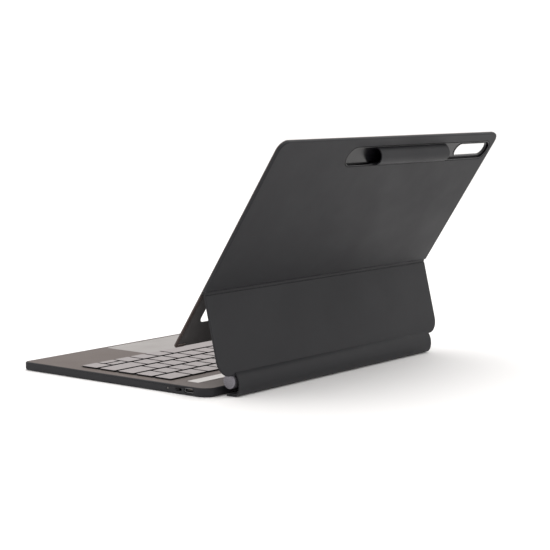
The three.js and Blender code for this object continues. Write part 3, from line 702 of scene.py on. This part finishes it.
def draw_strip(name, x0, x1, path, thickness):
    """A strip of sheet that is drawn out along a path whose first step runs along Y."""
    bpy.ops.object.select_all(action="DESELECT")
    bpy.ops.mesh.primitive_plane_add(size=1)
    bpy.ops.transform.resize(value=(x1 - x0, path[1][0] - path[0][0], 1))
    bpy.ops.transform.translate(
        value=((x0 + x1) / 2, (path[0][0] + path[1][0]) / 2, path[0][1]))
    bpy.ops.object.transform_apply()
    strip = bpy.context.object
    strip.name = strip.data.name = name
    pick("EDGE", lambda place, along: abs(along.x) > 0.9 and place.y > path[1][0] - 1e-7)
    for (y0, z0), (y1, z1) in zip(path[1:], path[2:]):
        bpy.ops.mesh.extrude_region_move(
            TRANSFORM_OT_translate={"value": (0, y1 - y0, z1 - z0)})
    bpy.ops.mesh.select_all(action="SELECT")
    bpy.ops.mesh.normals_make_consistent(inside=False)
    bpy.ops.object.mode_set(mode="OBJECT")
    bpy.ops.object.modifier_add(type="SOLIDIFY")
    wall = strip.modifiers[-1]
    wall.thickness, wall.offset, wall.material_offset_rim = thickness, 0, 1
    wall.use_even_offset = True
    bpy.ops.object.modifier_apply(modifier=wall.name)
    return strip


low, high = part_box("spine_skin")
REAR = high.y
spine_points = [  # behind the deepest point of the wrap, and above the desk
    (-12.3, 0.5), (-5.8, 0.5), (-3.6, 1.0), (-1.9, 2.5), (-0.85, 5.0), (-0.5, 8.0),
    (-0.75, 11.0), (-1.5, 13.4), (-2.6, 15.4), (-4.1, 16.9), (-5.5, 18.0), (-6.3, 19.6)]
path = [[REAR + y * MM, z * MM] for y, z in
        [spine_points[0]] + smooth_path(spine_points[1:])]
spine = draw_strip("spine_wrap", low.x, high.x, path, 1 * MM)
fit(spine, None, ["spine_skin"], "soft_cover", soft_touch, cut_edge, angle=60)
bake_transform(spine)

# ---- Flap ----------------------------------------------------------------------------------
# The stiff lower part of the back: a board between the outer sheet, which is wrapped round its
# edge, and a microfibre lining. It leans forward from the barrel up to the fold, and its lower
# corners are rounded.

# Microfibre lining with a short brushed nap: dark brown-black, with a soft edge of light. The
# nap is drawn at 1 mm.
microfibre, shader = new_finish("brushed_microfibre", Roughness=0.9, Sheen_Weight=0.45,
                                Sheen_Roughness=0.4)
place = add_node(microfibre, "TexCoord")
nap = add_node(microfibre, "TexNoise", {
    "Vector": place.outputs["Object"], "Scale": 1 / (1 * MM), "Detail": 5, "Roughness": 0.65})
brushing = add_node(microfibre, "TexNoise", {
    "Vector": place.outputs["Object"], "Scale": 1 / (30 * MM), "Detail": 3})
both = add_node(microfibre, "Mix", {
    "Factor": 0.35, "A": nap.outputs["Fac"], "B": brushing.outputs["Fac"]}, data_type="FLOAT")
tone = add_node(microfibre, "ValToRGB", {"Fac": both.outputs["Result"]})
tone.color_ramp.elements[0].position = 0.35
tone.color_ramp.elements[0].color = srgb("#161213")
tone.color_ramp.elements[1].position = 0.65
tone.color_ramp.elements[1].color = srgb("#262021")
relief = add_node(microfibre, "Bump", {
    "Height": nap.outputs["Fac"], "Strength": 0.35, "Distance": 0.12 * MM})
feed(microfibre, shader, Base_Color=tone.outputs["Color"], Normal=relief.outputs["Normal"])


def leaning(origin, lean):
    """The frame of a part that leans: X across, Y up the part, Z out of its front."""
    up = Vector((0, sin(lean), cos(lean)))
    across = Vector((1, 0, 0))
    return Matrix.Translation(origin) @ Matrix((across, up, across.cross(up))).transposed().to_4x4()


def stand_up(piece, leaning_frame):
    """Moves a piece that was modelled flat into a leaning part's frame."""
    select_only(piece)
    piece.matrix_world = leaning_frame @ piece.matrix_world
    bpy.ops.object.transform_apply()


joints = {joint["name"]: Vector(joint["pos_m"]) for joint in frame["joints"]
          if joint["type"] == "hinge"}
flap_frame = leaning(joints["flap_hinge"], radians(-13.6))
FLAP_HALF, FLAP_FACE = 142.5 * MM, -5.96 * MM
FLAP_BACK = FLAP_FACE + 1.5 * MM
FLAP_FOOT, FLAP_TOP = 3.6 * MM, 63.5 * MM
flap = add_block("flap_wrap", (-FLAP_HALF, FLAP_FOOT, FLAP_FACE),
                 (FLAP_HALF, FLAP_TOP, FLAP_BACK))
round_edges(12 * MM, 14, lambda place, along: abs(along.z) > 0.9 and place.y < FLAP_TOP / 2)
round_edges(0.65 * MM, 4, lambda place, along: place.z < FLAP_FACE + 1e-6)
round_edges(0.3 * MM, 2, lambda place, along: place.z > FLAP_BACK - 1e-6)
stand_up(flap, flap_frame)
fit(flap, "flap", ["flap_skin"], "soft_cover", soft_touch)
refinish(["flap_board"], moulded_black)
refinish(["flap_lining"], microfibre)

# ---- Fold ----------------------------------------------------------------------------------
# Between flap and panel there is no board, so the two sheets meet in a thin strip that bends.
# It lies a little below the outer faces and shows as a dark groove between their soft edges.

panel_frame = leaning(joints["panel_fold"], radians(33.1))
to_flap = flap_frame.inverted() @ panel_frame
fold_points = [(60 * MM, FLAP_FACE + 0.9 * MM), (62 * MM, FLAP_FACE + 0.9 * MM),
               (63.6 * MM, FLAP_FACE + 1 * MM)]
for height, depth in ((0.9, 1.0), (2.4, 0.9), (4.4, 0.9)):
    point = to_flap @ Vector((0, height * MM, (depth - 0.9) * MM))
    fold_points.append((point.y, point.z))
path = [fold_points[0]] + smooth_path(fold_points[1:])
fold = draw_strip("fold_strip", -FLAP_HALF + 0.2 * MM, FLAP_HALF - 0.2 * MM, path, 0.8 * MM)
stand_up(fold, flap_frame)
fit(fold, None, ["fold_hinge"], "soft_cover", soft_touch, cut_edge, angle=60)
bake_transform(fold)

# ---- Back panel ----------------------------------------------------------------------------
# The large outer panel: the same sheet over a board that holds two magnet bars. A long slot with
# round ends near the top takes the stylus, and at its far end is the cameras' window.

PANEL_HALF, PANEL_FACE = 143 * MM, -0.9 * MM
PANEL_FOOT, PANEL_TOP = 1.1 * MM, 130.5 * MM
SLOT_LINE = PANEL_TOP - 15.8 * MM
SLOT_LEFT, SLOT_RIGHT, SLOT_RADIUS = 57.4 * MM, -138.4 * MM, 8.4 * MM


def add_slot(name, left, right, radius, depth0, depth1):
    """A long plate with round ends on the stylus's line, between two depths below the face."""
    return add_plate(name, (right, SLOT_LINE - radius, PANEL_FACE + depth0),
                     (left, SLOT_LINE + radius, PANEL_FACE + depth1), radius - 0.02 * MM,
                     steps=14)


PANEL_BACK = PANEL_FACE + 2.35 * MM
panel = add_block("panel_wrap", (-PANEL_HALF, PANEL_FOOT, PANEL_FACE),
                  (PANEL_HALF, PANEL_TOP, PANEL_BACK))
round_edges(8 * MM, 10, lambda place, along: abs(along.z) > 0.9 and place.y > PANEL_TOP - 1e-6)
round_edges(2 * MM, 6, lambda place, along: place.z < PANEL_FACE + 1e-6
            and place.y < PANEL_FOOT + 1e-6)
round_edges(0.9 * MM, 5, lambda place, along: place.z < PANEL_FACE + 1e-6
            and place.y > PANEL_FOOT + 2.5 * MM)
round_edges(0.3 * MM, 2, lambda place, along: place.z > PANEL_BACK - 1e-6)
carve(panel, add_slot("hole", SLOT_LEFT + CLEAR, SLOT_RIGHT - CLEAR, SLOT_RADIUS + CLEAR,
                      -MM, 4 * MM))
select_only(panel)
round_edges(0.5 * MM, 4, lambda place, along: place.z < PANEL_FACE + 1e-6
            and abs(place.y - SLOT_LINE) < 9 * MM and abs(along.z) < 0.1
            and SLOT_RIGHT - MM < place.x < SLOT_LEFT + MM)
stand_up(panel, panel_frame)
fit(panel, "panel", ["panel_skin"], "soft_cover", soft_touch)
refinish(["panel_board"], moulded_black)
refinish(["magnet_bar_upper", "magnet_bar_lower"], brushed_steel)

# ---- Stylus slot ---------------------------------------------------------------------------
# A polished black tray lines the slot. A half tube of the outer sheet is arched over the middle
# of it, with its feet sewn down into the tray, and the camera window has its own frame.

tray = add_slot("stylus_lining", SLOT_LEFT, SLOT_RIGHT, SLOT_RADIUS, 0.1 * MM, 2.3 * MM)
WINDOW_LEFT, WINDOW_RIGHT, WINDOW_RADIUS = -90 * MM, -136.6 * MM, 6.6 * MM
carve(tray, add_slot("hole", SLOT_LEFT - 0.8 * MM, SLOT_RIGHT + 0.8 * MM, SLOT_RADIUS - 0.8 * MM,
                     -1 * MM, 1.8 * MM))
carve(tray, add_slot("hole", WINDOW_LEFT, WINDOW_RIGHT, WINDOW_RADIUS, 0, 5 * MM))
select_only(tray)
round_edges(0.25 * MM, 3, lambda place, along: place.z < PANEL_FACE + 0.11 * MM)
stand_up(tray, panel_frame)
fit(tray, "panel", ["stylus_tray"], "black_plastic", moulded_black)

bezel = add_slot("window_frame", WINDOW_LEFT - 0.3 * MM, WINDOW_RIGHT + 0.3 * MM,
                 WINDOW_RADIUS - 0.3 * MM, 1.4 * MM, 3.3 * MM)
pick("FACE", lambda place, normal: abs(normal.z) > 0.99)
bpy.ops.mesh.inset(thickness=0.7 * MM)
bpy.ops.mesh.bridge_edge_loops()
bpy.ops.object.mode_set(mode="OBJECT")
round_edges(0.2 * MM, 3, lambda place, along: place.z < PANEL_FACE + 1.41 * MM
            and abs(along.z) < 0.1)
stand_up(bezel, panel_frame)
fit(bezel, "panel", ["camera_bezel"], "black_plastic", moulded_black)

SLEEVE_HALF, SLEEVE_RISE, SLEEVE_FOOT = 6.75 * MM, 7.85 * MM, PANEL_FACE + 1.3 * MM
arch = [(SLOT_LINE - lead * MM, PANEL_FACE + 0.9 * MM) for lead in (8.3, 7.6)]
arch += [(SLOT_LINE - SLEEVE_HALF * cos(pi * i / 10), SLEEVE_FOOT - SLEEVE_RISE * sin(pi * i / 10))
         for i in range(1, 10)]
arch.append((SLOT_LINE + SLEEVE_HALF, SLEEVE_FOOT))
path = [arch[0]] + smooth_path(arch[1:])
sleeve = draw_strip("stylus_sleeve", -70 * MM, 23 * MM, path, 0.9 * MM)
stand_up(sleeve, panel_frame)
fit(sleeve, "panel", ["stylus_cover"], "soft_cover", soft_touch, cut_edge, angle=60)

# ---- Holder plate --------------------------------------------------------------------------
# The thin plate that the tablet clips against, faced with microfibre. It runs on below the fold,
# where a window lightens it, and a raised rim goes down both sides and hooks round its lower
# corners.

# Moulded polycarbonate, sprayed dark brown: satin, with a fine mist in the spray.
brown_spray, shader = new_finish("sprayed_polycarbonate", IOR=1.5)
place = add_node(brown_spray, "TexCoord")
mist = add_node(brown_spray, "TexNoise", {
    "Vector": place.outputs["Object"], "Scale": 1 / (0.8 * MM), "Detail": 3})
tone = add_node(brown_spray, "ValToRGB", {"Fac": mist.outputs["Fac"]})
tone.color_ramp.elements[0].color = srgb("#332a28")
tone.color_ramp.elements[1].color = srgb("#4a3e3a")
gloss = add_node(brown_spray, "MapRange", {
    "Value": mist.outputs["Fac"], "To Min": 0.3, "To Max": 0.48})
feed(brown_spray, shader, Base_Color=tone.outputs["Color"], Roughness=gloss.outputs["Result"])

# The same spray, paler along the rim's inner edge: a painted highlight.
rim_highlight_spray, shader = new_finish("spray_painted_highlight", IOR=1.5, Roughness=0.4)
place = add_node(rim_highlight_spray, "TexCoord")
highlight_mottle = add_node(rim_highlight_spray, "TexNoise", {
    "Vector": place.outputs["Object"], "Scale": 1 / (5 * MM), "Detail": 3})
tone = add_node(rim_highlight_spray, "ValToRGB", {"Fac": highlight_mottle.outputs["Fac"]})
tone.color_ramp.elements[0].position = 0.3
tone.color_ramp.elements[0].color = srgb("#6b5f5a")
tone.color_ramp.elements[1].position = 0.6
tone.color_ramp.elements[1].color = srgb("#8d827c")
feed(rim_highlight_spray, shader, Base_Color=tone.outputs["Color"])

HALF, FOOT, RIM, CORNER = PANEL_HALF - CLEAR, -50.5 * MM, 2.6 * MM, 3 * MM
HOOK_END = 131.5 * MM
LOWER_HALF, LOWER_FOOT, LOWER_TOP = 128 * MM, -29.5 * MM, -6 * MM
INNER, OUTER = PANEL_FACE + 3.3 * MM, PANEL_FACE + 2.6 * MM
holder = add_plate("holder", (-HALF, FOOT, OUTER), (HALF, PANEL_TOP - CLEAR, INNER), 8 * MM,
                   steps=10, foot=CORNER)
round_edges(0.2 * MM, 2, lambda place, along: abs(place.z - INNER) < 1e-6)
carve(holder,
      add_plate("hole", (-LOWER_HALF, LOWER_FOOT, -0.1), (LOWER_HALF, LOWER_TOP, 0.1), 5 * MM),
      add_slot("hole", WINDOW_LEFT, WINDOW_RIGHT, WINDOW_RADIUS, 0, 5 * MM))
select_only(holder)
round_edges(0.2 * MM, 2, lambda place, along: abs(place.z - INNER) < 1e-6
            and LOWER_FOOT - 0.5 * MM < place.y < LOWER_TOP + 0.5 * MM
            and abs(place.x) < LOWER_HALF + 0.2 * MM)
holder.data.materials.append(microfibre)
holder.data.materials.append(brown_spray)
pick("FACE", lambda place, normal: abs(normal.z) < 0.5
     and (abs(place.x) > HALF - 8 * MM or place.y < FOOT + 3 * MM or place.y > 0.1))
holder.active_material_index = 1
bpy.ops.object.material_slot_assign()
bpy.ops.object.mode_set(mode="OBJECT")
rim = add_plate("rim", (-HALF, FOOT, PANEL_FACE + 2.1 * MM), (HALF, 20 * MM, OUTER + 0.2 * MM),
                CORNER, steps=10)
carve(rim, add_plate("hole", (-HALF + RIM, FOOT + RIM, -0.1), (HALF - RIM, 30 * MM, 0.1),
                     CORNER - RIM, steps=6))
carve(rim, add_block("hole", (-0.2, -2.8 * MM, -0.1), (0.2, 0.1, 0.1)))
carve(rim, add_block("hole", (-HOOK_END, FOOT - MM, -0.1), (HOOK_END, 0, 0.1)))
select_only(rim)
round_edges(0.3 * MM, 2, lambda place, along: place.z < PANEL_FACE + 2.11 * MM)
rim.data.materials.append(brown_spray)
rim.data.materials.append(rim_highlight_spray)
# The rim's sloping inner edge takes the painted highlight.
pick("FACE", lambda place, normal: -0.95 < normal.z < -0.2
     and abs(place.x) < HALF - 2 * MM and place.y > FOOT + 2 * MM)
rim.active_material_index = 1
bpy.ops.object.material_slot_assign()
bpy.ops.object.mode_set(mode="OBJECT")
join(holder, rim)
stand_up(holder, panel_frame)
fit(holder, "panel", ["holder_plate"], "lining")

# ---- Floor, lights and camera --------------------------------------------------------------
# A white paper sweep, a large soft light overhead and two soft fills, as in a small product
# studio, and a long lens from behind the case's right rear corner.

# Uncoated paper, smooth and matt: an even white with a very faint, wide change of tone.
paper, shader = new_finish("white_paper_sweep", Roughness=0.75)
place = add_node(paper, "TexCoord")
tooth = add_node(paper, "TexNoise", {
    "Vector": place.outputs["Object"], "Scale": 1 / (300 * MM), "Detail": 2})
tone = add_node(paper, "ValToRGB", {"Fac": tooth.outputs["Fac"]})
tone.color_ramp.elements[0].color = srgb("#f8f7f6")
tone.color_ramp.elements[1].color = srgb("#fbfafa")
feed(paper, shader, Base_Color=tone.outputs["Color"])
bpy.ops.object.select_all(action="DESELECT")
bpy.ops.mesh.primitive_plane_add(size=14, location=(0, 0, -0.2 * MM))
bpy.ops.object.transform_apply()
floor = bpy.context.object
floor.name = floor.data.name = "paper_sweep"
floor.data.materials.append(paper)

world = bpy.data.worlds.new("studio")
world.use_nodes = True
world.node_tree.nodes["Background"].inputs["Color"].default_value = (1, 0.99, 0.98, 1)
world.node_tree.nodes["Background"].inputs["Strength"].default_value = 1.12
bpy.context.scene.world = world
bpy.context.scene.view_settings.view_transform = "Standard"

for name, spot, aim, size, power in (
        ("overhead", (0.1, 0.0, 1.6), (0, 0, 0), 1.8, 10),
        ("rear_fill", (1.2, 1.6, 0.8), (0, 0.1, 0.08), 1.2, 0.8),
        ("side_fill", (-1.5, 1.0, 0.9), (0, 0.1, 0.1), 1.0, 0.7)):
    bpy.ops.object.select_all(action="DESELECT")
    bpy.ops.object.light_add(type="AREA", location=spot)
    light = bpy.context.object
    light.name = name
    light.data.size, light.data.energy = size, power
    light.rotation_euler = (Vector(aim) - Vector(spot)).to_track_quat("-Z", "Y").to_euler()

heading, dip = radians(218.26), radians(6.66)
look = Vector((cos(dip) * cos(heading), cos(dip) * sin(heading), -sin(dip)))
bpy.ops.object.select_all(action="DESELECT")
bpy.ops.object.camera_add(location=(0.9906, 0.8254, 0.2193),
                          rotation=look.to_track_quat("-Z", "Y").to_euler())
camera = bpy.context.object
camera.data.lens, camera.data.sensor_width = 104.2, 36
bpy.context.scene.camera = camera

import json
